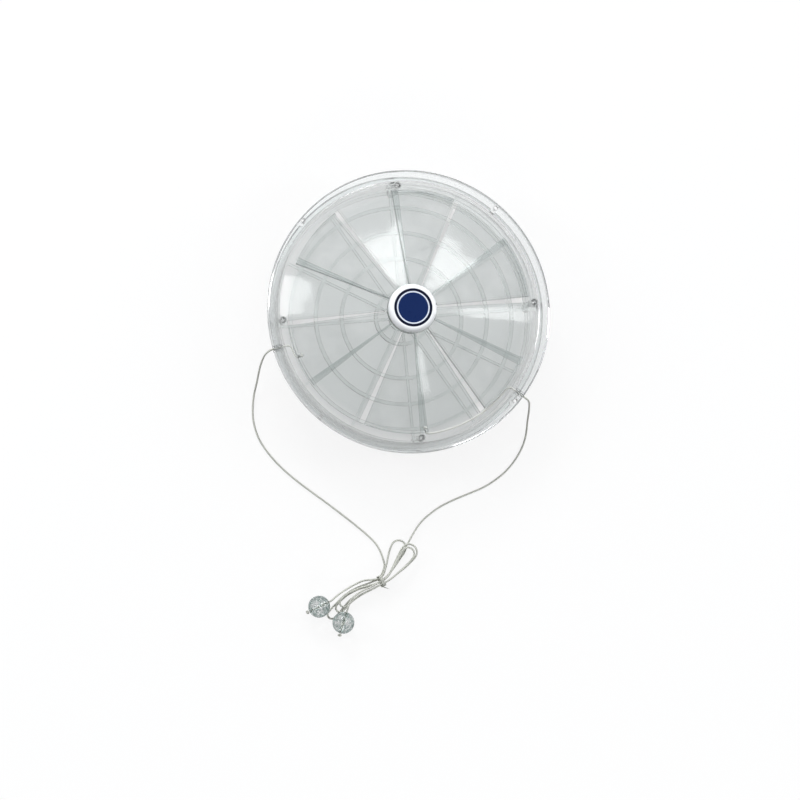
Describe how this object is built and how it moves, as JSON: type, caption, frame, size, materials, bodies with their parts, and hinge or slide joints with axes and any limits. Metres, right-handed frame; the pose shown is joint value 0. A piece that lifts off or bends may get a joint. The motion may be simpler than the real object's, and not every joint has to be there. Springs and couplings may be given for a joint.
{
  "type": "window ventilator",
  "caption": "Round clear-plastic pane ventilator with a hub-mounted rotary vane shutter, screwed rear clamp ring and guard, and two pull cords tied in a hank with round beads.",
  "frame": {"origin": "centre of the ventilator at the rear face of its weather guard, on which it lies", "axes": "+Z towards the room along the shutter's axis, +Y to the ventilator's top as it hangs in the pane"},
  "size_m": [0.2027, 0.3311, 0.0528],
  "materials": {
    "clear_plastic": "clear moulded plastic",
    "clear_bead": "clear moulded plastic",
    "seal_clear": "translucent",
    "cap_white": "gloss",
    "badge_blue": "gloss print",
    "steel": "zinc plated",
    "cord_white": "translucent twisted"
  },
  "bodies": {
    "housing": {"front_housing": "clear_plastic", "front_gasket": "seal_clear", "rear_ring": "clear_plastic", "rear_gasket": "seal_clear", "weather_guard": "clear_plastic", "spindle": "steel", "spindle_washer": "steel", "friction_washer": "steel", "spindle_nut": "steel", "clamp_screws": "clear_plastic", "cord_guide_left": "seal_clear", "cord_guide_right": "seal_clear", "inner_cord_left": "cord_white", "inner_cord_right": "cord_white", "cord_left": "cord_white", "cord_right": "cord_white", "hank_left": "cord_white", "hank_right": "cord_white", "cord_tail_left": "cord_white", "cord_tail_right": "cord_white", "hank_tie": "cord_white", "cord_bead_left": "clear_bead", "cord_bead_right": "clear_bead", "bead_knots": "cord_white"},
    "shutter": {"shutter_rotor": "clear_plastic", "rotor_bush": "steel", "hub_cap": "cap_white", "badge": "badge_blue", "rotor_knots": "cord_white"}
  },
  "joints": [
    {"name": "shutter_turn", "type": "hinge", "parent": "housing", "child": "shutter", "pos_m": [0, 0, 0.046], "axis": [0, 0, 1], "range_deg": [-3, 27]}
  ]
}
